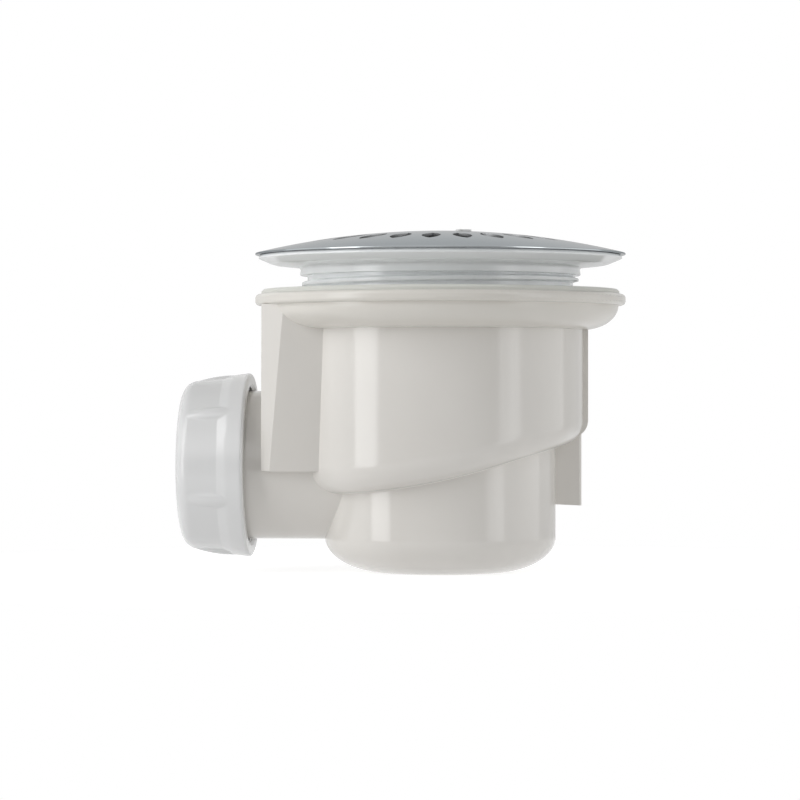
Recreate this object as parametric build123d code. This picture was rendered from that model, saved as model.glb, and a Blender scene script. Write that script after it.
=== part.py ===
from build123d import *
import os
from math import cos, degrees, hypot, radians, sin, sqrt, tan

# Shower trap with a top-access dip tube, in millimetres.
# The origin is the middle of the cup's underside, +Z is up and the outlet leaves along -X.

# Moulded body: a round cup in the middle and a drum around it, with the flange ring welded on top.
WALL = 2.4              # moulded wall
CUP_R = 35.8            # outside of the cup
FOOT_W = 20.0           # oval foot of the cup, across
FOOT_H = 11.0           # and upwards
BOWL_ROUND = 11.6       # rounded corner inside the cup
CHANNEL = 6.2           # clear width of the ring channel between cup and drum
DRUM_ROUND = 8.0        # rounded lower corner of the drum
BODY_H = 86.4           # cup underside to the top face of the flange
FLANGE_R = 57.5
FLANGE_T = 3.5
FLANGE_ROUND = 1.3
FLANGE_LIP = 2.2        # how far the flange stands out over the bell
BELL_H = 7.5            # bell-shaped swelling under the flange
WELD_FIT = 0.05         # flange ring around the drum
UNDER_ROUND = 0.5       # hollow corner between cup and drum

# Sloping channel floor: level at the outlet, rising away from it.
FLOOR_Z = 24.7          # underside of the level stretch
FLOOR_SLOPE = 17.0      # degrees
FLOOR_KNEE_X = -10.7    # where level and slope would meet
FLOOR_KNEE_R = 200.0    # arc that blends them

# Water seal.
SEAL_DEPTH = 50.0       # weir edge above the end of the dip tube
TUBE_LIFT = 11.6        # end of the dip tube above the cup's floor

# Outlet chamber, barrel and threaded spigot, on an axis parallel to X.
OUT_Z = 33.4            # height of the outlet axis
BOX_HALF = 26.7         # half width of the chamber at that height
BOX_DRAFT = 2.7         # degrees of side draft, wider upwards
BOX_END = 53.4          # reach of the chamber's flat end
BOX_BEVEL = 2.8         # bevel of the end's upright corners along the outlet, at that height
BOX_BEVEL_DRAFT = 5.2   # degrees, wider upwards
BOX_BEVEL_TURN = 38.7   # degrees from the chamber's side
BOX_DROP = 1.6          # chamber's underside below the outlet axis
BOX_ROUND = 0.4
BORE_R = 18.2           # waterway
BARREL_R = 23.0
SPIGOT_R = 23.9         # outside of the spigot's thread
SPIGOT_END = 73.5       # reach of the spigot from the body's axis
SPIGOT_L = 12.5         # threaded length
SPIGOT_ROUND = 0.9
PIPE_R = 20.0           # waste pipe that is pushed in
PIPE_FIT = 0.2
SOCKET_L = 22.5         # depth of the pipe socket
SOCKET_LEAD = 1.5       # lead-in chamfer at its mouth
STOP_T = 1.8            # wall that stops the pipe

# Stiffening fin opposite the outlet and bare raised pad on the drum.
FIN_T = 2.5
FIN_TURN = 5.0          # degrees from +X towards +Y
FIN_INSET = 0.5         # fin's end inside the drum's side
FIN_Z = 21.3            # lower edge of the fin at the cup
FIN_FALL = 0.5          # lower at its end
FIN_ROUND = 0.9         # upright edges of its end
PAD_T = 1.5
PAD_FROM = 1.5          # degrees from +X towards +Y
PAD_TO = 48.0
PAD_Z = 41.9            # lower edge of the pad
PAD_ROUND = 5.4

# Tray seal in a recess of the flange ring.
SEAT_DEPTH = 1.5
SEAT_RIM = 1.6          # ring left outside the recess
SEAT_W = 10.2
SEAT_LIP = 2.4          # ring left inside it
SEAL_T = 2.95
SEAL_BEVEL = 0.65
SEAL_FIT = 0.3

# Top flange that screws down through the tray.
NECK_WALL = 4.4         # neck wall with its thread
NECK_INSERT = 7.9       # neck's reach into the body
THREAD_CLEAR = 0.3
SHOULDER_GAP = 0.5      # below the neck's end
NECK_LEAD = 0.8         # chamfer at the neck's end
LEDGE_W = 2.6           # inner ledge that carries the dip tube
LEDGE_T = 2.5
COLLAR_STEP = 0.6       # collar outside the thread
COLLAR_FLARE = 0.3      # wider at its lower edge
COLLAR_H = 2.5
COLLAR_ROUND = 1.0
CLAMP = 6.85            # tray space, seal to saucer
RIM_R = 56.4            # saucer-shaped rim
RIM_H = 1.2             # height of its edge
RIM_W = 2.2             # level land that carries the dome
RIM_DIP = 0.8           # step inside the land
RIM_ROUND = 0.4
SAUCER_RISE = 2.7       # collar to the rim's lower edge
SAUCER_LIP = 4.4        # upturned stretch of the saucer
SAUCER_TILT = 0.9       # rise of the flat stretch
SAUCER_ROUND = 6.0
SAUCER_T = 2.2

# Dip tube and its ring seal.
TUBE_GAP = 6.4          # waterway between dip tube and cup
TUBE_WALL = 2.0
TUBE_RIM_H = 5.0
TUBE_RIM_WALL = 2.2     # wall behind the groove
FUNNEL_H = 11.0
FUNNEL_ROUND = 3.0
LIP_ROUND = 0.5
SLIDE = 0.4             # radial play of the pieces dropped into the neck
RING_D = 2.96           # ring seal's section
RING_FIT = 0.1
BAR_T = 3.0             # pull bar across the funnel
BAR_H = 4.0

# Dome cover and its carrier.
DOME_LAP = 1.1          # dome's overhang past the rim
DOME_BALL = 243.0       # radius of its upper face
DOME_EDGE = 0.5         # height of the plain edge
SHEET = 0.8
HEM_W = 2.9             # turned-in edge
HEM_ROUND = 0.2
PETALS = 24
PETAL_IN = 29.0
PETAL_OUT = 43.0
PETAL_W = 5.7
PETAL_TURN = -91.0      # degrees from +X
LUGS = 2
LUG_TURN = -56.0        # degrees from +X
LUG_AT = 14.0           # distance from the axis
LUG_W = 4.3
LUG_T = 2.2
LUG_PROUD = 0.45
LUG_FIT = 0.25
HUB_R = 18.0
HUB_T = 2.2
ARMS = 4
ARM_T = 2.6
ARM_H = 5.0
ARM_ROUND = 2.0
CARRIER_RING_H = 3.0
CARRIER_RING_W = 2.4

# Union nut with the washer and the seal inside it.
NUT_R = 28.7            # at the open rim
NUT_RIM_GAP = 5.4       # rim to the chamber's end
NUT_RIM_ROUND = 1.0
NUT_BAND = 5.2          # plain band along the rim
NUT_BAND_FALL = 0.75    # band's taper
NUT_BAND_ROUND = 8.0
NUT_STEP = 3.0          # slope from the band down to the grip
NUT_STEP_FALL = 1.0
NUT_TAPER = 5.5         # degrees, along the grip
NUT_ROUND = 4.5         # shoulder at the closed end
NUT_FACE_T = 2.5
NUT_LEAD = 1.0          # chamfer at the thread's mouth
NUT_EDGE = 0.4          # chamfer around the pipe's hole
NUT_HOLE_FIT = 0.6
RIBS = 6                # raised ribs on the grip
RIB_TURN = 37.0         # degrees above the front side
RIB_AT = 10.6           # middle of a rib from the rim
RIB_SUNK = 0.94         # its crest below the rim's radius
RIB_TILT = 7.6          # degrees
RIB_L = 15.8
RIB_R = 2.9             # rounding across the rib
RIB_BEND = 36.0         # bend of its crest
WASHER_T = 1.5
WASHER_FIT = 0.5
SEAL_RING_T = 2.5
SEAL_RING_FIT = 0.05
SEAL_NOSE = 1.1

# Sizes that follow.
BOWL_R = CUP_R - WALL
CHANNEL_R = CUP_R + CHANNEL
DRUM_R = CHANNEL_R + WALL
BELL_R = FLANGE_R - FLANGE_LIP
FLANGE_Z = BODY_H - FLANGE_T
BELL_Z = FLANGE_Z - BELL_H
TUBE_END = WALL + TUBE_LIFT
WEIR_Z = TUBE_END + SEAL_DEPTH
SEAT_OUT = FLANGE_R - SEAT_RIM
SEAT_IN = SEAT_OUT - SEAT_W
MOUTH_R = SEAT_IN - SEAT_LIP
NECK_R = MOUTH_R - THREAD_CLEAR
NECK_END = BODY_H - NECK_INSERT
MOUTH_Z = NECK_END - SHOULDER_GAP
SOCKET_R = PIPE_R + PIPE_FIT
BARREL_END = SPIGOT_END - SPIGOT_L
BOX_Z = OUT_Z - BOX_DROP
SEAT_Z = BODY_H - SEAT_DEPTH
SEAL_TOP = SEAT_Z + SEAL_T
COLLAR_R = NECK_R + COLLAR_STEP
COLLAR_TOP = SEAL_TOP + CLAMP
RIM_TOP = COLLAR_TOP + SAUCER_RISE + RIM_H
NECK_BORE = NECK_R - NECK_WALL
LEDGE_TOP = NECK_END + LEDGE_T
TUBE_R = BOWL_R - TUBE_GAP
TUBE_TOP = LEDGE_TOP + TUBE_RIM_H
DROP_R = NECK_BORE - SLIDE
DOME_R = RIM_R + DOME_LAP
DOME_CENTRE = RIM_TOP + DOME_EDGE - sqrt(DOME_BALL**2 - DOME_R**2)
PIPE_STOP = SPIGOT_END - SOCKET_L
NUT_RIM = BOX_END + NUT_RIM_GAP
NUT_BORE = SPIGOT_R + THREAD_CLEAR
WASHER_Z = SPIGOT_END + SEAL_RING_T
NUT_FACE = WASHER_Z + WASHER_T
NUT_END = NUT_FACE + NUT_FACE_T


def outline(*points):
    """Closed flat face through (x, z) points; a third number is the radius that rounds that corner."""
    corners = [Vector(point[0], 0, point[1]) for point in points]
    rounds = [point[2] if len(point) > 2 else 0 for point in points]
    befores, afters = corners[-1:] + corners[:-1], corners[1:] + corners[:1]
    starts, ends, arcs = [], [], []
    for before, corner, after, radius in zip(befores, corners, afters, rounds):
        back = (before - corner).normalized()
        onward = (after - corner).normalized()
        half = radians(back.get_angle(onward)) / 2
        starts.append(corner + back * (radius / tan(half)))
        ends.append(corner + onward * (radius / tan(half)))
        middle = corner + (back + onward) * ((radius / sin(half) - radius) / (2 * cos(half)))
        arcs.append([ThreePointArc(starts[-1], middle, ends[-1])] if radius else [])
    edges = []
    for arc, end, start in zip(arcs, ends, starts[1:] + starts[:1]):
        edges += arc + [Line(end, start)]
    return make_face(edges)


def turned(*points):
    """Solid turned about Z from (radius, z, corner radius) points."""
    return revolve(outline(*points), Axis.Z)


def to_outlet(shape):
    """Lay a shape that stands on Z along the outlet axis, Z becoming the reach from the body's axis."""
    return Pos(0, 0, OUT_Z) * Rot(0, -90, 0) * shape


def around(count, start, shape):
    """Copies of a shape spaced evenly about Z."""
    return [Rot(0, 0, start + 360 / count * step) * shape for step in range(count)]


def over_floor(lift, radius, top, corner):
    """Round column standing on the level-then-rising floor, with its lower corner rounded."""
    far = 2 * radius
    rise = (far - FLOOR_KNEE_X) * tan(radians(FLOOR_SLOPE))
    low = FLOOR_Z + lift
    side = outline((-far, low), (FLOOR_KNEE_X, low, FLOOR_KNEE_R), (far, low + rise), (far, top), (-far, top))
    column = extrude(side, far, both=True) & extrude(Circle(radius), top)
    foot = [edge for edge in column.edges()
            if edge.geom_type != GeomType.LINE and edge.center().Z < top - corner]
    return fillet(foot, corner)


def chamber(inset, end, low, high):
    """Outlet chamber with drafted sides and bevelled end corners; inset gives the space inside its walls."""
    slant = tan(radians(BOX_BEVEL_TURN))

    def half(z):
        return BOX_HALF - inset + (z - OUT_Z) * tan(radians(BOX_DRAFT))

    def wedge(z):
        """Triangle between the two bevels, which would meet beyond the chamber's end."""
        corner = BOX_END - BOX_BEVEL - (z - OUT_Z) * tan(radians(BOX_BEVEL_DRAFT))
        tip = corner - inset * tan(radians(BOX_BEVEL_TURN / 2)) + half(z) / slant
        return Pos(0, 0, z) * make_face(Polyline((0, -tip * slant), (0, tip * slant), (-tip, 0), close=True))

    front = outline((-half(low), low), (half(low), low), (half(high), high), (-half(high), high))
    block = extrude(Rot(0, 0, 90) * front, end, dir=(-1, 0, 0))
    return block & loft([wedge(low), wedge(high)], ruled=True)


def bell():
    """Space under the flange bounded by a quarter of an ellipse turned about Z."""
    curve = EllipticalCenterArc((0, 0), BELL_R - DRUM_R, BELL_H, start_angle=270, arc_size=90)
    curve = Pos(DRUM_R, 0, FLANGE_Z) * Rot(90, 0, 0) * curve
    low, high = Vector(0, 0, BELL_Z), Vector(0, 0, FLANGE_Z)
    side = make_face([curve, Line(curve @ 1, high), Line(high, low), Line(low, curve @ 0)])
    return revolve(side, Axis.Z)


def flange_ring():
    """Bell and flange in one ring on the drum's edge, with the screw mouth and the seal's recess."""
    flange = turned((0, FLANGE_Z), (FLANGE_R, FLANGE_Z, FLANGE_ROUND),
                    (FLANGE_R, BODY_H, FLANGE_ROUND), (0, BODY_H))
    socket = extrude(Circle(DRUM_R + WELD_FIT), MOUTH_Z)
    mouth = extrude(Circle(MOUTH_R), BODY_H)
    seat = turned((SEAT_IN, SEAT_Z), (SEAT_OUT, SEAT_Z), (SEAT_OUT, BODY_H), (SEAT_IN, BODY_H))
    return bell() + flange - socket - mouth - seat


def cup():
    """Cup on an oval foot, up to the weir."""
    curve = EllipticalCenterArc((0, 0), FOOT_W, FOOT_H, start_angle=270, arc_size=90)
    curve = Pos(CUP_R - FOOT_W, 0, FOOT_H) * Rot(90, 0, 0) * curve
    low, high, edge = Vector(0, 0, 0), Vector(0, 0, WEIR_Z), Vector(CUP_R, 0, WEIR_Z)
    side = make_face([curve, Line(curve @ 1, edge), Line(edge, high), Line(high, low), Line(low, curve @ 0)])
    return revolve(side, Axis.Z)


def bowl():
    """Space inside the cup's wall."""
    top = WEIR_Z + WALL
    return turned((0, WALL), (BOWL_R, WALL, BOWL_ROUND), (BOWL_R, top), (0, top))


def drum_and_cup():
    """Drum over the sloping floor with the cup through it and the hollow corner between them."""
    core = over_floor(0, DRUM_R, MOUTH_Z, DRUM_ROUND) + cup()
    seam = [edge for edge in core.edges() if edge.geom_type != GeomType.LINE
            and abs(hypot((edge @ 0.5).X, (edge @ 0.5).Y) - CUP_R) < WELD_FIT
            and FOOT_H + UNDER_ROUND < edge.center().Z < MOUTH_Z / 2]
    return fillet(seam, UNDER_ROUND)


def body_outside():
    """The body before it is hollowed."""
    box = chamber(0, BOX_END, BOX_Z, FLANGE_Z)
    corners = [edge for edge in box.edges() if edge.center().X < -DRUM_R and edge.center().Z < BELL_Z]
    box = fillet(corners, BOX_ROUND) - bell()
    barrel = to_outlet(extrude(Circle(BARREL_R), BARREL_END))
    spigot = to_outlet(turned((0, BARREL_END), (BARREL_R, BARREL_END),
                              (SPIGOT_R, BARREL_END + SPIGOT_R - BARREL_R),
                              (SPIGOT_R, SPIGOT_END, SPIGOT_ROUND), (0, SPIGOT_END)))
    fin_end = DRUM_R - FIN_INSET
    fin = outline((BOWL_R, FIN_Z), (fin_end, FIN_Z - FIN_FALL), (fin_end, WEIR_Z), (BOWL_R, WEIR_Z))
    fin = extrude(fin, FIN_T / 2, both=True)
    fin = Rot(0, 0, FIN_TURN) * fillet(fin.edges().filter_by(Axis.Z).group_by(Axis.X)[-1], FIN_ROUND)
    pad = revolve(outline((CUP_R, PAD_Z), (DRUM_R + PAD_T, PAD_Z, PAD_ROUND), (DRUM_R + PAD_T, BELL_Z),
                          (CUP_R, BELL_Z)), Axis.Z, PAD_TO - PAD_FROM)
    return drum_and_cup() + box + barrel + spigot + fin + Rot(0, 0, PAD_FROM) * pad


def body_inside():
    """The hollows: channel, outlet chamber and waterway around the cup, then bowl and pipe socket."""
    channel = over_floor(WALL, CHANNEL_R, MOUTH_Z, DRUM_ROUND - WALL)
    room = chamber(WALL, PIPE_STOP - STOP_T, BOX_Z + WALL, BELL_Z - WALL)
    waterway = to_outlet(extrude(Circle(BORE_R), SPIGOT_END))
    socket = to_outlet(turned((0, PIPE_STOP), (SOCKET_R, PIPE_STOP), (SOCKET_R, SPIGOT_END - SOCKET_LEAD),
                              (SOCKET_R + SOCKET_LEAD, SPIGOT_END), (0, SPIGOT_END)))
    return channel + room + waterway - cup() + bowl() + socket


def trap_body():
    """Moulded body with its weir cup, sloping ring channel and outlet chamber."""
    return body_outside() - body_inside()


def tray_seal():
    """Flat seal in the flange's recess, bevelled at its upper outer edge."""
    inner, outer = SEAT_IN + SEAL_FIT, SEAT_OUT - SEAL_FIT
    return turned((inner, SEAT_Z), (outer, SEAT_Z), (outer, SEAL_TOP - SEAL_BEVEL),
                  (outer - SEAL_BEVEL, SEAL_TOP), (inner, SEAL_TOP))


def top_flange():
    """Screwed neck with a collar and a saucer-shaped rim, and the ledge for the dip tube."""
    ledge = NECK_BORE - LEDGE_W
    throat = COLLAR_TOP + SAUCER_T / 2
    return turned((ledge, NECK_END), (NECK_R - NECK_LEAD, NECK_END), (NECK_R, NECK_END + NECK_LEAD),
                  (NECK_R, COLLAR_TOP - COLLAR_H), (COLLAR_R, COLLAR_TOP - COLLAR_H),
                  (COLLAR_R - COLLAR_FLARE, COLLAR_TOP, COLLAR_ROUND),
                  (RIM_R - SAUCER_LIP, COLLAR_TOP + SAUCER_TILT, SAUCER_ROUND),
                  (RIM_R, RIM_TOP - RIM_H, RIM_ROUND), (RIM_R, RIM_TOP, RIM_ROUND), (RIM_R - RIM_W, RIM_TOP),
                  (RIM_R - RIM_W - RIM_DIP, RIM_TOP - RIM_DIP), (NECK_BORE, throat, RIM_DIP),
                  (NECK_BORE, LEDGE_TOP), (ledge, LEDGE_TOP))


def dip_tube():
    """Funnel and straight tube that reach down into the cup, with a ring groove and a pull bar."""
    groove = NECK_BORE - RING_FIT - RING_D - RING_FIT
    mouth = groove - TUBE_RIM_WALL
    bore = TUBE_R - TUBE_WALL
    drop = NECK_BORE - LEDGE_W - SLIDE
    middle = LEDGE_TOP + TUBE_RIM_H / 2
    low, high = middle - RING_D / 2 - RING_FIT / 2, middle + RING_D / 2 + RING_FIT / 2
    shoulder = LEDGE_TOP - LEDGE_T / 2
    tube = turned((bore, TUBE_END), (TUBE_R, TUBE_END), (TUBE_R, shoulder - FUNNEL_H, FUNNEL_ROUND),
                  (drop, shoulder), (drop, LEDGE_TOP), (DROP_R, LEDGE_TOP), (DROP_R, low), (groove, low),
                  (groove, high), (DROP_R, high), (DROP_R, TUBE_TOP), (mouth, TUBE_TOP, LIP_ROUND),
                  (mouth, shoulder, FUNNEL_ROUND), (bore, shoulder - FUNNEL_H, FUNNEL_ROUND))
    bar = Pos(0, 0, TUBE_TOP - BAR_H) * Box(2 * mouth + TUBE_RIM_WALL, BAR_T, BAR_H)
    return tube + bar


def dip_tube_seal():
    """Ring seal in the dip tube's groove."""
    return Pos(0, 0, LEDGE_TOP + TUBE_RIM_H / 2) * Torus(NECK_BORE - RING_FIT - RING_D / 2, RING_D / 2)


def dome_height(radius, depth=0):
    """Height of the dome's upper face, or of the face a sheet below it, at a distance from the axis."""
    return DOME_CENTRE + sqrt((DOME_BALL - depth)**2 - radius**2)


def dome_arc(start, end, depth=0):
    """Arc across the dome between two distances from the axis."""
    stops = (start, (start + end) / 2, end)
    return ThreePointArc(*[Vector(stop, 0, dome_height(stop, depth)) for stop in stops])


def lug(grow, base):
    """One upright lug under the dome's lug hole; grow gives the hole around it."""
    top = dome_height(LUG_AT) + LUG_PROUD
    column = extrude(Rectangle(LUG_T + 2 * grow, LUG_W + 2 * grow), top - base + grow)
    return Pos(LUG_AT, 0, base) * column


def dome_cover():
    """Shallow dome with a turned-in edge, a ring of leaf-shaped slots and the lug holes."""
    inner = DOME_R - HEM_W
    top, under = dome_arc(0, DOME_R), dome_arc(inner, 0, SHEET)
    edge = Vector(DOME_R, 0, RIM_TOP)
    hem = Vector(inner, 0, RIM_TOP)
    sheet = revolve(make_face([top, Line(top @ 1, edge), Line(edge, hem), Line(hem, under @ 0), under,
                               Line(under @ 1, top @ 0)]), Axis.Z)
    sheet = fillet(sheet.edges().filter_by(Plane.XY).group_by(SortBy.RADIUS)[-1], HEM_ROUND)
    tip, root, middle = (PETAL_OUT, 0), (PETAL_IN, 0), (PETAL_IN + PETAL_OUT) / 2
    leaf = make_face([ThreePointArc(root, (middle, PETAL_W / 2), tip),
                      ThreePointArc(tip, (middle, -PETAL_W / 2), root)])
    slot = Pos(0, 0, RIM_TOP) * extrude(leaf, DOME_R)
    return sheet - around(PETALS, PETAL_TURN, slot) - around(LUGS, LUG_TURN, lug(LUG_FIT, RIM_TOP))


def dome_carrier():
    """Spider under the dome: a hub with the lugs, arms and a ring that drops into the neck."""
    crown = dome_arc(0, HUB_R, SHEET)
    floor = dome_height(HUB_R, SHEET) - HUB_T
    corner, middle = Vector(HUB_R, 0, floor), Vector(0, 0, floor)
    hub = make_face([crown, Line(crown @ 1, corner), Line(corner, middle), Line(middle, crown @ 0)])
    hub = revolve(hub, Axis.Z)
    inner = DROP_R - CARRIER_RING_W
    ring_top = TUBE_TOP + CARRIER_RING_H
    ring = turned((inner, TUBE_TOP), (DROP_R, TUBE_TOP), (DROP_R, ring_top), (inner, ring_top))
    arm = outline((HUB_R - ARM_H, floor), (HUB_R, floor + HUB_T / 2),
                  (DROP_R - CARRIER_RING_W / 2, ring_top + ARM_H, ARM_ROUND),
                  (DROP_R - CARRIER_RING_W / 4, TUBE_TOP), (inner, TUBE_TOP),
                  (inner, ring_top + ARM_H / 2, ARM_ROUND))
    arm = extrude(arm, ARM_T / 2, both=True)
    carrier = hub + ring + around(ARMS, LUG_TURN + 180 / ARMS, arm)
    return carrier + around(LUGS, LUG_TURN, lug(0, floor + HUB_T / 2))


def union_nut():
    """Nut with a plain band at the rim, a grip with raised ribs, a rounded shoulder and a hole for the pipe."""
    hole = PIPE_R + NUT_HOLE_FIT
    band_end = NUT_RIM + NUT_BAND
    grip = band_end + NUT_STEP
    band_r = NUT_R - NUT_BAND_FALL
    grip_r = band_r - NUT_STEP_FALL
    shoulder = grip_r - (NUT_END - grip) * tan(radians(NUT_TAPER))
    outside = turned((0, NUT_RIM), (NUT_R, NUT_RIM, NUT_RIM_ROUND), (band_r, band_end, NUT_BAND_ROUND),
                     (grip_r, grip), (shoulder, NUT_END, NUT_ROUND), (0, NUT_END))
    inside = turned((0, NUT_RIM), (NUT_BORE + NUT_LEAD, NUT_RIM), (NUT_BORE, NUT_RIM + NUT_LEAD),
                    (NUT_BORE, NUT_FACE), (hole, NUT_FACE), (hole, NUT_END - NUT_EDGE),
                    (hole + NUT_EDGE, NUT_END), (0, NUT_END))
    swing = degrees(RIB_L / RIB_BEND)
    section = Pos(RIB_BEND - RIB_R, 0, 0) * Rot(90, 0, 0) * Circle(RIB_R)
    rib = Rot(90, 0, 0) * Rot(0, 0, -swing / 2) * revolve(section, Axis.Z, swing)
    rib = Pos(NUT_R - RIB_SUNK, 0, NUT_RIM + RIB_AT) * Rot(0, -RIB_TILT, 0) * Pos(-RIB_BEND, 0, 0) * rib
    return to_outlet(outside + around(RIBS, RIB_TURN - 90, rib) - inside)


def slip_washer():
    """Thin ring between the nut's face and the seal, so that the seal isn't dragged round."""
    inner, outer = PIPE_R + WASHER_FIT, NUT_BORE - WASHER_FIT
    return to_outlet(turned((inner, WASHER_Z), (outer, WASHER_Z), (outer, NUT_FACE), (inner, NUT_FACE)))


def outlet_seal():
    """Rubber ring on the spigot's end, with a nose in its lead-in chamfer."""
    inner, outer = SOCKET_R + SEAL_RING_FIT, NUT_BORE - WASHER_FIT
    return to_outlet(turned((inner, SPIGOT_END - SEAL_NOSE), (inner + SEAL_NOSE, SPIGOT_END),
                            (outer, SPIGOT_END), (outer, WASHER_Z), (inner, WASHER_Z)))


PIECES = (trap_body, flange_ring, tray_seal, top_flange, dip_tube, dip_tube_seal,
          dome_cover, dome_carrier, union_nut, slip_washer, outlet_seal)

os.makedirs("parts", exist_ok=True)
for piece in PIECES:
    export_step(piece(), f"parts/{piece.__name__}.step")
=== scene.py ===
# %% [markdown]
# # A shower trap
#
# The trap sits under a shower tray. Water runs through the slotted dome, down a tube into a cup,
# up over the cup's edge and out at the side. The solids come from the CAD model, which is loaded
# here as a fixed frame. Most of them already have the right shape, so they stay and get a finish.
# Three pieces carry detail that the solids leave out or keep plain, and are made again as surfaces:
# the screwed flange, the ribbed nut and the slotted dome.

# %% The frame
from math import cos, pi, radians, sin, tan

import bpy
import numpy as np
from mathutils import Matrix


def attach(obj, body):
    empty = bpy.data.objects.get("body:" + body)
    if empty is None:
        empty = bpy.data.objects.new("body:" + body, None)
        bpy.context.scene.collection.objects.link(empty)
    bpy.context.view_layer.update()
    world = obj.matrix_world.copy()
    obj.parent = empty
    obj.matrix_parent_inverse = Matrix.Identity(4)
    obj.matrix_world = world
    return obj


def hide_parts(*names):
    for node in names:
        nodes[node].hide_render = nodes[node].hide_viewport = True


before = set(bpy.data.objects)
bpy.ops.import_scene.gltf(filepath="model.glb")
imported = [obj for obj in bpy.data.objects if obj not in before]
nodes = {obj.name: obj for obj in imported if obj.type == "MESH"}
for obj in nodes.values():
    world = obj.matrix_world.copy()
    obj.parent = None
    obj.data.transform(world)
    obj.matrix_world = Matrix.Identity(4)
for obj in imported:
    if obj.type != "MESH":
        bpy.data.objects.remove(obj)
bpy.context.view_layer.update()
scene = bpy.context.scene
scene.view_settings.view_transform = "Standard"
MM = 0.001
print("nodes:", ", ".join(sorted(nodes)))

# %% [markdown]
# ## Camera
#
# The photograph is a product shot from far away with a long lens, level with the middle of the
# trap. The camera is turned a few degrees, so a strip of the outlet chamber's end shows.
# The picture's edges are plain white, and the trap's axis lies a little right of the middle.

# %% Camera
TURN = radians(4.0)            # camera's turn about the trap
DISTANCE = 1100 * MM
EYE_HEIGHT = 53.6 * MM
EYE_SHIFT = -12.53 * MM        # camera's offset to its left
RIGHT = np.array([cos(TURN), sin(TURN), 0.0])
AHEAD = np.array([-sin(TURN), cos(TURN), 0.0])
UP = np.array([0.0, 0.0, 1.0])

camera_data = bpy.data.cameras.new("camera")
camera_data.sensor_width = 36
camera_data.lens = 159.2
camera = bpy.data.objects.new("camera", camera_data)
camera.location = RIGHT * EYE_SHIFT - AHEAD * DISTANCE + UP * EYE_HEIGHT
camera.rotation_euler = (pi / 2, 0, TURN)
scene.collection.objects.link(camera)
scene.camera = camera
print("camera at", [round(float(c), 4) for c in camera.location])

# %% [markdown]
# ## Shader maths
#
# A finish is a small program made of nodes. To write it as plain sums, one class wraps a socket.
# An operator between two sockets, or a socket and a number, adds a Math node. Any other node
# comes from the method `node`, which takes the type, the settings and the inputs.

# %% Sockets that add up
class Link:
    """A node's output that takes part in Python sums."""

    def __init__(self, tree, socket):
        self.tree, self.socket = tree, socket

    def node(self, kind, settings, inputs):
        """Add a node: settings first, then each input's value or link. Returns its first output.
        The setting stops gives a ramp's two ends, each a position and a grey."""
        made = self.tree.nodes.new(kind)
        for name, value in settings.items():
            if name == "stops":
                for element, (position, grey) in zip(made.color_ramp.elements, value):
                    element.position, element.color = position, (grey, grey, grey, 1)
            else:
                setattr(made, name, value)
        for name, value in inputs.items():
            if isinstance(value, Link):
                self.tree.links.new(value.socket, made.inputs[name])
            else:
                made.inputs[name].default_value = value
        shown = [output for output in made.outputs if output.enabled]
        return Link(self.tree, shown[0])

    def other(self, name):
        """Another output of the same node."""
        return Link(self.tree, self.socket.node.outputs[name])

    def maths(self, operation, first, second):
        """Math node of two values."""
        return self.node("ShaderNodeMath", {"operation": operation}, {0: first, 1: second})

    def __add__(self, other): return self.maths("ADD", self, other)
    def __radd__(self, other): return self.maths("ADD", other, self)
    def __sub__(self, other): return self.maths("SUBTRACT", self, other)
    def __rsub__(self, other): return self.maths("SUBTRACT", other, self)
    def __mul__(self, other): return self.maths("MULTIPLY", self, other)
    def __rmul__(self, other): return self.maths("MULTIPLY", other, self)

    def noise(self, scale, detail=2.0, stretch=(1, 1, 1)):
        """Cloudy value from 0 to 1 at a number of lumps to the metre, stretched along an axis."""
        place = self.node("ShaderNodeMapping", {}, {"Vector": self, "Scale": stretch})
        return self.node("ShaderNodeTexNoise", {}, {"Vector": place, "Scale": scale, "Detail": detail})

    def blend(self, first, second):
        """Colour between two by this value. Each is a link or three numbers."""
        first, second = (end if isinstance(end, Link) else (*end, 1) for end in (first, second))
        mixed = self.node("ShaderNodeMix", {"data_type": "RGBA"}, {"Factor": self, 6: first, 7: second})
        return Link(self.tree, mixed.socket.node.outputs[2])


def finish(name):
    """New material: its shader, and the place on the piece that patterns read."""
    material = bpy.data.materials.new(name)
    material.use_nodes = True
    tree = material.node_tree
    place = tree.nodes.new("ShaderNodeTexCoord")
    return material, tree.nodes["Principled BSDF"], Link(tree, place.outputs["Object"])


def feed(shader, **inputs):
    """Set or link a shader's inputs, with an underscore in a name for a space."""
    for name, value in inputs.items():
        socket = shader.inputs[name.replace("_", " ")]
        if isinstance(value, Link):
            value.tree.links.new(value.socket, socket)
        else:
            socket.default_value = value


print("socket class ready")

# %% [markdown]
# ## Moulded plastic
#
# The body, the flange, the nut and the inner pieces are moulded polypropylene. It is pale, a bit
# waxy and takes a soft but clear reflection of the lamps. Up close the colour drifts a little,
# the gloss is uneven where the melt flowed, and the mould leaves a very fine grain.
# One function makes all of them from two colours that lie close together. The flange also lets a
# little light into its skin.

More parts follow.
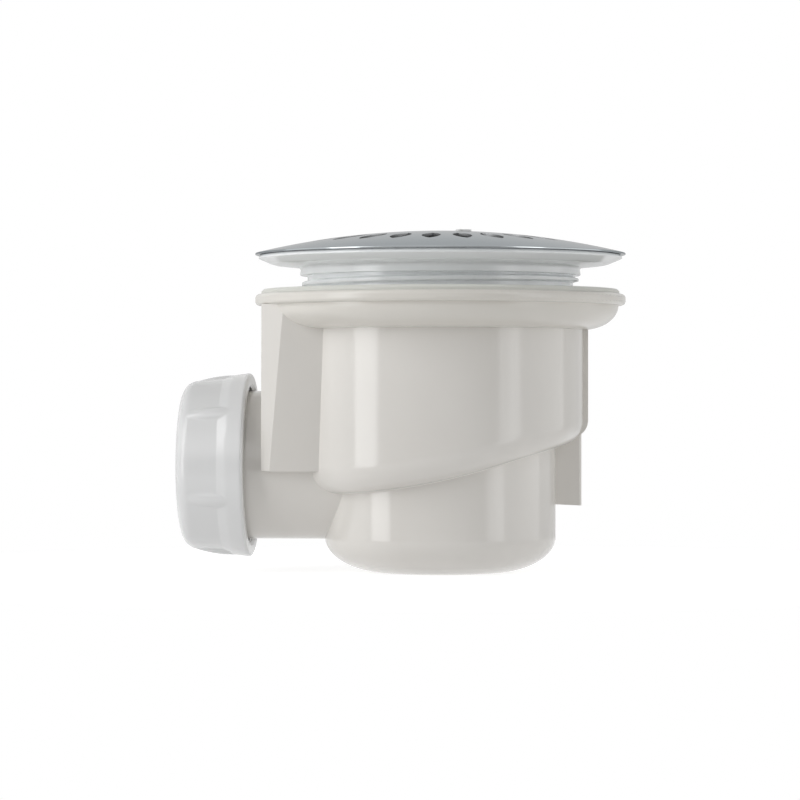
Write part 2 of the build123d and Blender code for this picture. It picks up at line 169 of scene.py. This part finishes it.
# %% Plastic finishes
def plastic(name, low, high, gloss):
    """Pale moulded plastic: drifting colour, flow-streaked gloss and a fine mould grain."""
    material, shader, place = finish(name)
    drift = place.noise(28, 3.0)
    flow = place.noise(60, 4.0, stretch=(1, 1, 0.25))
    skin = place.noise(2400, 2.0)
    swell = place.noise(140, 1.0)
    tone = place.node("ShaderNodeValToRGB", {"stops": [(0.3, 0.0), (0.7, 1.0)]},
                      {"Fac": drift * 0.7 + flow * 0.3})
    feed(shader, Base_Color=tone.blend(low, high), IOR=1.49,
         Roughness=gloss + 0.10 * (flow - 0.5) + 0.06 * (skin - 0.5),
         Normal=place.node("ShaderNodeBump", {}, {"Strength": 0.12, "Distance": 0.06 * MM,
                                                  "Height": skin * 0.35 + swell}))
    return material


body_white = plastic("body_white", (0.735, 0.712, 0.675), (0.770, 0.748, 0.712), 0.13)
ring_white = plastic("ring_white", (0.745, 0.720, 0.668), (0.775, 0.750, 0.700), 0.22)
flange_white = plastic("flange_white", (0.925, 0.950, 0.962), (0.945, 0.966, 0.975), 0.14)
feed(flange_white.node_tree.nodes["Principled BSDF"],
     Subsurface_Weight=0.3, Subsurface_Radius=(1, 1, 1), Subsurface_Scale=1.5 * MM)
nut_white = plastic("nut_white", (0.740, 0.745, 0.745), (0.770, 0.773, 0.773), 0.16)
insert_white = plastic("insert_white", (0.79, 0.79, 0.78), (0.82, 0.82, 0.81), 0.32)
print("plastic finishes:", body_white.name, flange_white.name, nut_white.name, insert_white.name)

# %% [markdown]
# ## Rubber
#
# The tray seal is a soft off-white ring, dull with a powdery skin. The two seals inside are black.
# Both have a rougher skin than the plastic.

# %% Rubber finishes
def rubber(name, low, high, dull):
    """Dull rubber: mottled colour with a powdery skin."""
    material, shader, place = finish(name)
    bloom = place.noise(220, 4.0)
    skin = place.noise(1500, 3.0)
    feed(shader, Base_Color=bloom.blend(low, high), Roughness=dull + 0.12 * (bloom - 0.5), IOR=1.5,
         Normal=place.node("ShaderNodeBump", {},
                           {"Strength": 0.25, "Distance": 0.08 * MM, "Height": skin}))
    return material


seal_rubber = rubber("seal_rubber", (0.700, 0.705, 0.660), (0.745, 0.748, 0.705), 0.55)
ring_rubber = rubber("ring_rubber", (0.018, 0.018, 0.018), (0.035, 0.035, 0.036), 0.55)
print("rubber finishes:", seal_rubber.name, ring_rubber.name)

# %% [markdown]
# ## Bright metal
#
# The dome is polished metal. It mirrors the room, so most of its look comes from the lamps and the
# backdrop. Polishing leaves hair-fine rings around the axis, so the gloss is striped by the
# distance from the axis, and a few faint clouds keep it from looking computed.
# The slots' cut edges are not polished: where the surface stands upright inside the rim,
# it is dull and rougher, and its colour is painted darker as painted shade inside the slots.

# %% Dome finish
# These also bound the painted shade inside the slots.
CUT_TILT, CUT_REACH = 0.5, 50 * MM   # cut edges: the normal's rise is below this, within this radius

dome_bright, shader, place = finish("dome_bright")
flat = place.node("ShaderNodeVectorMath", {"operation": "MULTIPLY"}, {0: place, 1: (1, 1, 0)})
reach = flat.node("ShaderNodeVectorMath", {"operation": "LENGTH"}, {0: flat}).other("Value")
rings = place.node("ShaderNodeTexNoise", {"noise_dimensions": "1D"},
                   {"W": reach, "Scale": 2600, "Detail": 2.0})
clouds = place.noise(45, 3.0)
rise = place.node("ShaderNodeSeparateXYZ", {}, {"Vector": place.other("Normal")}).other("Z")
# Upright cut edges inside the rim: rougher there, and darker as painted shade in the slots.
cut_edge_and_shade = place.maths("LESS_THAN", rise, CUT_TILT) * place.maths("LESS_THAN", reach, CUT_REACH)
polished = clouds.blend((0.390, 0.412, 0.425), (0.430, 0.450, 0.462))
# The cut edges' darker grey is painted shade inside the slots.
feed(shader, Base_Color=cut_edge_and_shade.blend(polished, (0.340, 0.345, 0.350)), Metallic=1.0,
     Specular_Tint=(0.55, 0.57, 0.58, 1),
     Roughness=0.12 + 0.3 * cut_edge_and_shade + 0.05 * (rings - 0.5) + 0.06 * (clouds - 0.5),
     Normal=place.node("ShaderNodeBump", {}, {"Strength": 0.03, "Distance": 0.02 * MM, "Height": rings}))
print("metal finish:", dome_bright.name)

# %% [markdown]
# ## Turned surfaces
#
# The flange and the nut are turned shapes with something added: a helix on one, ribs on the other.
# A turned surface is a grid of two parameters, the distance along a profile and the angle.
# The profile is written as corners, some of them rounded, and cut into short steps where detail
# needs them.

# %% Profile and grid helpers
def rounded(corners, bends=7):
    """Closed profile through corners of radius, height and rounding.
    Each rounding is an arc that touches both sides of its corner, with its centre on their bisector."""
    points = np.array([corner[:2] for corner in corners], float)
    rounds = np.array([corner[2] if len(corner) > 2 else 0.0 for corner in corners])
    back = np.roll(points, 1, 0) - points
    onward = np.roll(points, -1, 0) - points
    back /= np.linalg.norm(back, axis=1)[:, None]
    onward /= np.linalg.norm(onward, axis=1)[:, None]
    half = np.arccos(np.clip((back * onward).sum(1), -1, 1)) / 2
    inward = back + onward
    inward /= np.maximum(np.linalg.norm(inward, axis=1), 1e-9)[:, None]
    centres = points + inward * (rounds / np.sin(half))[:, None]
    turns, signs = pi - 2 * half, np.sign(np.cross(back, onward))
    pieces = []
    for centre, start, point, turn, radius, sign in zip(centres, back, points, turns, rounds, signs):
        if radius == 0:
            pieces.append(point[None])
            continue
        first = point + start * (radius * tan(turn / 2)) - centre
        swing = np.linspace(0, turn, bends) * sign
        pieces.append(centre + np.stack([first[0] * np.cos(swing) + first[1] * np.sin(swing),
                                         first[1] * np.cos(swing) - first[0] * np.sin(swing)], 1))
    return np.concatenate(pieces)


def stepped(profile, step_at):
    """Closed profile cut into steps: each side is divided evenly, with no step longer than the
    length that step_at gives for the side's middle."""
    after = np.roll(profile, -1, 0)
    length = np.linalg.norm(after - profile, axis=1)
    count = np.maximum(1, np.ceil(length / step_at((profile + after) / 2))).astype(int)
    side = np.repeat(np.arange(len(profile)), count)
    share = (np.arange(count.sum()) - np.repeat(np.cumsum(count) - count, count)) / count[side]
    return profile[side] + (after - profile)[side] * share[:, None]


def grid_faces(rows, columns, close_rows, close_columns):
    """Four-cornered faces of a grid numbered row by row, joined to itself where a direction closes."""
    i = np.arange(rows if close_rows else rows - 1)[:, None]
    j = np.arange(columns if close_columns else columns - 1)[None, :]
    k, m = (i + 1) % rows, (j + 1) % columns
    corners = [i * columns + j, i * columns + m, k * columns + m, k * columns + j]
    return np.stack(corners, -1).reshape(-1, 4)


def volume(points, faces):
    """Volume enclosed by faces, each a fan of two triangles; it is negative if they point inwards."""
    a, b, c, d = (points[faces[:, corner]] for corner in range(4))
    return ((a * np.cross(b, c)).sum() + (a * np.cross(c, d)).sum()) / 6


def piece(name, points, faces, material):
    """Mesh object from points in millimetres, faces pointing outwards, smooth except at its corners."""
    if volume(points, faces) < 0:
        faces = faces[:, ::-1]
    mesh = bpy.data.meshes.new(name)
    mesh.from_pydata((points * MM).tolist(), [], faces.tolist())
    mesh.validate()
    return dress(mesh, name, material)


def dress(mesh, name, material):
    """Put a finished mesh into the scene as a piece of the trap."""
    mesh.shade_smooth()
    mesh.set_sharp_from_angle(angle=radians(32))
    mesh.materials.clear()
    mesh.materials.append(material)
    made = bpy.data.objects.new(name, mesh)
    scene.collection.objects.link(made)
    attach(made, "root")
    print(name, len(mesh.vertices), "vertices", len(mesh.polygons), "faces")
    return made


def smooth_step(low, high, value):
    """Goes from 0 to 1 between low and high along a curve that is level at both ends."""
    share = np.clip((value - low) / (high - low), 0, 1)
    return share * share * (3 - 2 * share)


print("profile and grid helpers ready")

# %% [markdown]
# ## Screwed flange
#
# The flange has a saucer-shaped rim, a collar and a neck with a coarse thread, which shows in the gap
# where the tray goes. A screw could be made by sweeping a tooth along a helix and joining it to the
# neck. Here the neck's own grid is pushed in between the crests instead: the depth at a point follows
# its height less the height that the helix has reached at that angle. That gives one closed surface
# with no seam.

# %% Flange with its thread
NECK_R, NECK_END, LEDGE_R, LEDGE_TOP, NECK_BORE = 43.0, 78.5, 36.0, 81.0, 38.6
NECK_BEVEL = 0.8
COLLAR_LOW, COLLAR_TOP, COLLAR_R = 92.2, 94.7, 43.6
SAUCER_LIP, SAUCER_TILT, SAUCER_ROUND = 4.4, 0.9, 6.0
RIM_R, RIM_TOP, RIM_H = 56.4, 98.6, 1.2
LAND, LAND_DIP = 2.2, 0.8      # level land that carries the dome, and the step inside it
PITCH, THREAD_DEPTH = 3.2, 1.75
CREST_AT = 89.4                # height of a crest on the outlet's side
THREAD_STEP, PLAIN_STEP = 0.22, 3.0
NEAR = 0.01                    # tolerance for points that lie on a radius or a height

on_thread = NECK_R - NECK_BEVEL - 0.1
flange_profile = stepped(rounded([
    (LEDGE_R, NECK_END), (NECK_R - NECK_BEVEL, NECK_END), (NECK_R, NECK_END + NECK_BEVEL),
    (NECK_R, COLLAR_LOW), (COLLAR_R, COLLAR_LOW, 0.25), (COLLAR_R - 0.3, COLLAR_TOP, 1.0),
    (RIM_R - SAUCER_LIP, COLLAR_TOP + SAUCER_TILT, SAUCER_ROUND), (RIM_R, RIM_TOP - RIM_H, 0.2),
    (RIM_R, RIM_TOP, 0.95), (RIM_R - LAND, RIM_TOP), (RIM_R - LAND - LAND_DIP, RIM_TOP - LAND_DIP),
    (NECK_BORE, COLLAR_TOP + 1.1, 0.8), (NECK_BORE, LEDGE_TOP), (LEDGE_R, LEDGE_TOP)]),
    lambda middle: np.where((middle[:, 0] > on_thread) & (middle[:, 1] < COLLAR_LOW),
                            THREAD_STEP, PLAIN_STEP))
angle = np.linspace(0, 2 * pi, 256, endpoint=False)
radius, height = flange_profile[:, :1], flange_profile[:, 1:]
climb = (height - CREST_AT) / PITCH - (angle - pi) / (2 * pi)
tooth = smooth_step(0, 1, 0.5 + 0.95 * np.cos(2 * pi * climb))
on_neck = (radius > on_thread) & (radius < NECK_R + NEAR) & (height < COLLAR_LOW + NEAR)
run_out = smooth_step(COLLAR_LOW - 1.1, COLLAR_LOW - 0.3, height)
lead_in = smooth_step(NECK_END, NECK_END + 2.5, height)
sunk = np.where(on_neck, THREAD_DEPTH * (1 - tooth * (1 - run_out) * lead_in), 0)
around = radius - sunk
flange_points = np.stack([around * np.cos(angle), around * np.sin(angle), height + 0 * angle], -1)
top_flange = piece("threaded_flange", flange_points.reshape(-1, 3),
                   grid_faces(len(flange_profile), len(angle), True, True), flange_white)
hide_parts("top_flange")

# %% [markdown]
# ## Ribbed nut
#
# The nut has a plain band along its open rim. Behind it the side drops to a lower grip, and six slim
# ribs stand on the grip for the fingers. Each rib is a piece of a bent round bar that comes up through
# the side, so it is widest in its middle and runs out to a point at both ends. The grid's radius is the
# larger of the two, the turned profile or the bar's skin, with a small blend where they meet.
# The bore carries the thread for the outlet.

# %% Nut with ribs and bore thread
OUT_Z = 33.4                   # outlet's height
NUT_RIM, NUT_END, NUT_FACE, NUT_BORE, NUT_HOLE = 58.8, 80.0, 77.5, 24.2, 20.6
NUT_R, BAND_R, GRIP_R, SHOULDER_R = 28.7, 27.95, 26.95, 25.7
BAND_L, STEP_L = 5.2, 3.0      # plain band along the rim, and the slope behind it
RIBS, RIB_TURN, RIB_TILT = 6, radians(37), radians(7.6)
RIB_R, RIB_BEND, RIB_REACH = 2.9, 36.0, 7.9
RIB_CREST = np.array([27.76, 69.4])  # radius and reach at the rib's middle
RIB_BLEND = 0.15
BORE_PITCH, BORE_DEPTH = 2.3, 0.9
BORE_BEVEL, HOLE_BEVEL = 1.0, 0.4
SIDE_STEP, HOLE_STEP = 0.4, 1.2

nut_profile = stepped(rounded([
    (NUT_HOLE, NUT_FACE), (NUT_BORE, NUT_FACE), (NUT_BORE, NUT_RIM + BORE_BEVEL),
    (NUT_BORE + BORE_BEVEL, NUT_RIM), (NUT_R, NUT_RIM, 1.0), (BAND_R, NUT_RIM + BAND_L, 8.0),
    (GRIP_R, NUT_RIM + BAND_L + STEP_L), (SHOULDER_R, NUT_END, 4.5),
    (NUT_HOLE + HOLE_BEVEL, NUT_END), (NUT_HOLE, NUT_END - HOLE_BEVEL)], bends=12),
    lambda middle: np.where(middle[:, 0] > NUT_BORE - 0.1, SIDE_STEP, HOLE_STEP))
angle = np.linspace(0, 2 * pi, 480, endpoint=False)
radius, reach = nut_profile[:, :1], nut_profile[:, 1:]
off = (angle - RIB_TURN + pi / RIBS) % (2 * pi / RIBS) - pi / RIBS
bend_r, bend_at = RIB_CREST - RIB_BEND * np.array([cos(RIB_TILT), sin(RIB_TILT)])
across = radius * np.sin(off)
skin = RIB_BEND - RIB_R + np.sqrt(np.maximum(RIB_R**2 - across**2, 0))
bar = (bend_r + np.sqrt(np.maximum(skin**2 - (reach - bend_at)**2, 0))) / np.cos(off)
on_rib = (np.abs(across) < RIB_R) & (np.abs(reach - RIB_CREST[1]) < RIB_REACH)
on_rib &= radius > NUT_BORE + BORE_BEVEL + 0.1
ribbed = np.where(on_rib, (radius + bar + np.hypot(radius - bar, RIB_BLEND)) / 2, radius)
winding = 0.5 + 0.5 * np.cos(2 * pi * (reach / BORE_PITCH - angle / (2 * pi)))
in_bore = (np.abs(radius - NUT_BORE) < NEAR) & (reach < NUT_FACE - 0.5)
around = ribbed + np.where(in_bore, BORE_DEPTH * winding, 0)
nut_points = np.stack([-reach + 0 * angle, -around * np.cos(angle), OUT_Z + around * np.sin(angle)], -1)
union_nut = piece("ribbed_nut", nut_points.reshape(-1, 3),
                  grid_faces(len(nut_profile), len(angle), True, True), nut_white)
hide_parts("union_nut")

# %% [markdown]
# ## Slotted dome
#
# The dome is a thin sheet, pressed to a shallow ball shape, with its edge turned in and a ring of slots
# shaped like leaves. Slots could be cut with booleans, but those leave long thin faces that spoil a
# mirror finish. Instead the grid is laid out around them. It runs from the middle of the upper face out
# to the edge, around the turned-in hem and back along the lower face. Each of the sectors between two
# slots has its own columns, and where a slot opens, the columns are squeezed towards the middle of the
# sector by the slot's half width. Upright faces line the slots. Where there is no slot the sectors meet
# and are merged.

# %% Dome sheet
DOME_R, DOME_BALL, DOME_EDGE, SHEET, HEM_IN, HEM_ROUND = 57.5, 243.0, 0.5, 0.8, 54.6, 0.2
DOME_CENTRE = RIM_TOP + DOME_EDGE - (DOME_BALL**2 - DOME_R**2)**0.5
SLOTS, SLOT_IN, SLOT_OUT, SLOT_W, SLOT_AT = 24, 29.0, 43.0, 5.7, radians(-91)
COLUMNS = 10                   # faces across a sector


def ball(radius, depth=0.0):
    """Height of the dome's upper face, or of a face below it: a circle's arc about a centre far down."""
    return DOME_CENTRE + np.sqrt((DOME_BALL - depth)**2 - radius**2)


middle = (SLOT_IN + SLOT_OUT) / 2
swell = (((SLOT_OUT - SLOT_IN) / 2)**2 + (SLOT_W / 2)**2) / SLOT_W
inner_rows = np.linspace(0, SLOT_IN, 14)
slot_rows = middle - (SLOT_OUT - SLOT_IN) / 2 * np.cos(np.linspace(0, pi, 25))
outer_rows = np.linspace(SLOT_OUT, HEM_IN, 9)
face_r = np.concatenate([inner_rows, slot_rows[1:], outer_rows[1:]])
lap_r = np.linspace(HEM_IN, DOME_R - HEM_ROUND, 5)[1:-1]
high = np.linspace(np.arccos(DOME_R / DOME_BALL), 0, 6)
low = np.linspace(0, -pi / 2, 6)
high_z = ball(DOME_R - HEM_ROUND) - HEM_ROUND / np.cos(DOME_R / DOME_BALL)
edge_r = DOME_R - HEM_ROUND + HEM_ROUND * np.cos(np.concatenate([high, low]))
edge_z = np.concatenate([high_z + HEM_ROUND * np.sin(high),
                         RIM_TOP + HEM_ROUND + HEM_ROUND * np.sin(low)])
sheet_r = np.concatenate([face_r, lap_r, edge_r, [HEM_IN], face_r[::-1]])[:, None, None]
sheet_z = np.concatenate([ball(face_r), ball(lap_r), edge_z, [RIM_TOP], ball(face_r[::-1], SHEET)])
sheet_z = sheet_z[:, None, None]
half = np.sqrt(np.maximum(swell**2 - (sheet_r - middle)**2, 0)) - swell + SLOT_W / 2
half = np.arctan2(np.maximum(half, 0), np.maximum(sheet_r, 1))
sector = 2 * pi / SLOTS
start = SLOT_AT + sector * np.arange(SLOTS)[None, :, None]
share = np.linspace(0, 1, COLUMNS + 1)[None, None, :]
angle = start + half + share * (sector - 2 * half)
sheet_points = np.stack([sheet_r * np.cos(angle), sheet_r * np.sin(angle), sheet_z + 0 * angle], -1)
sheet_points = sheet_points.reshape(-1, 3)
rows = len(sheet_r)
numbers = np.arange(rows * SLOTS * (COLUMNS + 1)).reshape(rows, SLOTS, COLUMNS + 1)
by_sector = numbers.transpose(1, 0, 2).reshape(SLOTS, -1)
faces = by_sector[:, grid_faces(rows, COLUMNS + 1, False, False)].reshape(-1, 4)
upper = np.arange(len(inner_rows) - 1, len(inner_rows) + len(slot_rows) - 2)
ring = np.stack([upper, upper + 1, rows - 2 - upper, rows - 1 - upper], 1)
walls = np.concatenate([numbers[ring, :, 0], numbers[ring[:, ::-1], :, COLUMNS]])
faces = np.concatenate([faces, walls.transpose(0, 2, 1).reshape(-1, 4)])
if volume(sheet_points, faces) < 0:
    faces = faces[:, ::-1]

sheet_mesh = bpy.data.meshes.new("slotted_dome")
sheet_mesh.from_pydata((sheet_points * MM).tolist(), [], faces.tolist())
sheet = bpy.data.objects.new("sheet", sheet_mesh)
scene.collection.objects.link(sheet)
weld = sheet.modifiers.new("weld", "WELD")
weld.merge_threshold = 0.002 * MM
print("dome sheet:", SLOTS, "slots,", len(sheet_mesh.polygons), "faces")

# %% [markdown]
# The carrier under the dome holds it with two lugs that come up through small holes. Those two holes
# lie on the plain middle of the dome, so there a boolean does no harm.

# %% Lug holes and the finished dome
LUGS, LUG_AT, LUG_TURN, LUG_W, LUG_T = 2, 14.0, radians(-56), 4.8, 2.7

corners = np.array([(x, y, z) for x in (-1, 1) for y in (-1, 1) for z in (-1, 1)], float)
block = corners * (LUG_T / 2, LUG_W / 2, 8.0) + (LUG_AT, 0, RIM_TOP + 7)
turns = LUG_TURN + 2 * pi * np.arange(LUGS)[:, None] / LUGS
blocks = np.stack([block[:, 0] * np.cos(turns) - block[:, 1] * np.sin(turns),
                   block[:, 0] * np.sin(turns) + block[:, 1] * np.cos(turns), block[:, 2] + 0 * turns], -1)
sides = np.array([(0, 1, 3, 2), (4, 6, 7, 5), (0, 4, 5, 1), (2, 3, 7, 6), (0, 2, 6, 4), (1, 5, 7, 3)])
cutter_mesh = bpy.data.meshes.new("lug_holes")
cutter_mesh.from_pydata((blocks.reshape(-1, 3) * MM).tolist(), [],
                        (sides[None] + 8 * np.arange(LUGS)[:, None, None]).reshape(-1, 4).tolist())
cutter = bpy.data.objects.new("lug_holes", cutter_mesh)
scene.collection.objects.link(cutter)
holes = sheet.modifiers.new("holes", "BOOLEAN")
holes.operation, holes.object, holes.solver = "DIFFERENCE", cutter, "EXACT"
depsgraph = bpy.context.evaluated_depsgraph_get()
dome_mesh = bpy.data.meshes.new_from_object(sheet.evaluated_get(depsgraph))
bpy.data.objects.remove(sheet)
bpy.data.objects.remove(cutter)
dome_cover = dress(dome_mesh, "slotted_dome", dome_bright)
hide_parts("dome_cover")

# %% [markdown]
# ## Pieces that stay as they are
#
# The body, its flange ring, the seals and the inner pieces have their final shape in the CAD model,
# with smooth normals, so they only change their finish.

# %% Finishes for the solids
solid_finishes = {"trap_body": body_white, "flange_ring": ring_white, "tray_seal": seal_rubber,
                  "dip_tube": insert_white, "dome_carrier": insert_white, "slip_washer": insert_white,
                  "dip_tube_seal": ring_rubber, "outlet_seal": ring_rubber}
for name, material in solid_finishes.items():
    nodes[name].material_slots[0].material = material
print("finishes set on", len(solid_finishes), "solids")

# %% [markdown]
# ## Light
#
# The photograph shows two tall narrow highlights on the drum and on the cup. They are two strip lamps,
# a strong one at the camera's left and a weak one at its right. Wide dim panels stand for the rest of
# the white room: a wall at each side, a low and a high panel at the left, and one overhead. Two more
# light the trap's back, and are kept out of its reflections, because a lamp's reflection is added to
# the backdrop's and would wash out the outline. Most levels were found by rendering each lamp alone and
# choosing the sum that comes nearest to the photograph's tones. The camera doesn't see the lamps
# themselves, so they don't show in other views.

# %% Lamps
def lamp(name, side, lift, width, height, brightness, away=1.5, mirrored=True):
    """Lamp that faces the trap from side degrees off the camera's line and lift degrees up.
    Width and height are the angles it fills as seen from the trap, and brightness is that of its face."""
    wide, tall = 2 * away * tan(radians(width) / 2), 2 * away * tan(radians(height) / 2)
    data = bpy.data.lights.new(name, "AREA")
    data.shape, data.size, data.size_y = "RECTANGLE", wide, tall
    data.energy = brightness * pi * wide * tall
    made = bpy.data.objects.new(name, data)
    level = RIGHT * sin(radians(side)) - AHEAD * cos(radians(side))
    made.location = (level * cos(radians(lift)) + UP * sin(radians(lift))) * away + UP * EYE_HEIGHT
    made.rotation_euler = (pi / 2 - radians(lift), 0, TURN + radians(side))
    made.visible_camera, made.visible_glossy = False, mirrored
    scene.collection.objects.link(made)
    print(name, "energy", round(data.energy, 2))


lamp("left_strip", -61.5, 15.0, 21.5, 70.0, 3.18, 1.4)
lamp("right_strip", 55.5, 15.0, 19.5, 70.0, 1.7, 1.4)
lamp("left_wall", -82.0, 0.0, 56.0, 24.0, 0.56)
lamp("right_wall", 85.0, 0.0, 60.0, 24.0, 0.96)
lamp("left_low", -55.0, -25.0, 110.0, 26.0, 0.21)
lamp("left_high", -55.0, 27.0, 110.0, 30.0, 0.67)
lamp("top", 0.0, 80.0, 90.0, 60.0, 0.1)
lamp("left_edge", -140.0, 0.0, 50.0, 60.0, 0.4, mirrored=False)
lamp("right_edge", 140.0, 0.0, 50.0, 60.0, 0.35, mirrored=False)

# %% [markdown]
# ## Room and floor
#
# The backdrop and the floor are white to the camera and give only a little light. Mirrors see the
# backdrop too, a little dimmer along the horizon and dimmest on the camera's side, as where a studio is
# unlit. That gives the dome an even grey up to its outline and keeps the edges of the white pieces from
# melting into the backdrop. The floor is a round table top that keeps a trace of shadow. It is small, so
# that the strips' reflections reach the foot of the cup: on a wide floor the cup would mirror the floor
# instead.

# %% Room
ROOM_LIGHT = 0.19
DIM_BEHIND, DIM_FRONT = 0.28, 0.70   # what the horizon lacks behind the trap and on the camera's side
HORIZON_FROM, HORIZON_TO = 0.10, 0.34   # rise of the directions between which the dimness fades out
SIDE_SPAN = 0.5                # share of the way to the front or the back at which its level is reached


def from_camera(tree):
    """One for rays from the camera, zero for all others."""
    return Link(tree, tree.nodes.new("ShaderNodeLightPath").outputs["Is Camera Ray"])


def seen(tree):
    """One for rays from the camera, mirrors and glass, zero for the rays that light a surface."""
    camera_ray = from_camera(tree)
    mirrored = camera_ray.maths("MAXIMUM", camera_ray, camera_ray.other("Is Glossy Ray"))
    return mirrored.maths("MAXIMUM", mirrored, camera_ray.other("Is Transmission Ray"))


room = bpy.data.worlds.new("room")
room.use_nodes = True
scene.world = room
background = room.node_tree.nodes["Background"]
background.inputs["Color"].default_value = (1, 1, 1, 1)
tree = room.node_tree
heading = Link(tree, tree.nodes.new("ShaderNodeTexCoord").outputs["Generated"])
rise = heading.node("ShaderNodeSeparateXYZ", {}, {"Vector": heading}).other("Z")
along = heading.node("ShaderNodeVectorMath", {"operation": "DOT_PRODUCT"},
                     {0: heading, 1: AHEAD}).other("Value")
band = rise.node("ShaderNodeMapRange", {"interpolation_type": "SMOOTHSTEP"},
                 {"Value": rise.node("ShaderNodeMath", {"operation": "ABSOLUTE"}, {0: rise}),
                  "From Min": HORIZON_FROM, "From Max": HORIZON_TO, "To Min": 1.0, "To Max": 0.0})
lack = along.node("ShaderNodeMapRange", {"interpolation_type": "SMOOTHSTEP"},
                  {"Value": along, "From Min": -SIDE_SPAN, "From Max": SIDE_SPAN,
                   "To Min": DIM_FRONT, "To Max": DIM_BEHIND})
shown = 1 - band * lack * (1 - from_camera(tree))
level = ROOM_LIGHT + (shown - ROOM_LIGHT) * seen(tree)
tree.links.new(level.socket, background.inputs["Strength"])
print("room light", ROOM_LIGHT)

# %% Floor
FLOOR_LIGHT, FLOOR_SEEN = 0.335, 0.75   # glow that lights the trap, and glow that the camera sees
FLOOR_R, FLOOR_SIDES = 0.2, 96

floor_mesh = bpy.data.meshes.new("floor")
turn = np.linspace(0, 2 * pi, FLOOR_SIDES, endpoint=False)
edge = np.stack([FLOOR_R * np.cos(turn), FLOOR_R * np.sin(turn), 0 * turn], 1)
floor_mesh.from_pydata(edge.tolist(), [], [list(range(FLOOR_SIDES))])
floor = bpy.data.objects.new("floor", floor_mesh)
scene.collection.objects.link(floor)
floor_white = bpy.data.materials.new("floor_white")
floor_white.use_nodes = True
tree = floor_white.node_tree
shader = tree.nodes["Principled BSDF"]
feed(shader, Base_Color=(0.5, 0.5, 0.5, 1), Roughness=0.9)
glow = FLOOR_LIGHT + (FLOOR_SEEN - FLOOR_LIGHT) * seen(tree)
white = glow.node("ShaderNodeEmission", {}, {"Color": (1, 1, 1, 1), "Strength": glow})
mixed = glow.node("ShaderNodeAddShader", {}, {0: Link(tree, shader.outputs[0]), 1: white})
tree.links.new(mixed.socket, tree.nodes["Material Output"].inputs["Surface"])
floor_mesh.materials.append(floor_white)
print("floor radius", FLOOR_R)

# %% [markdown]
# ## End
#
# Nothing more is added to the scene.


print("scene built")
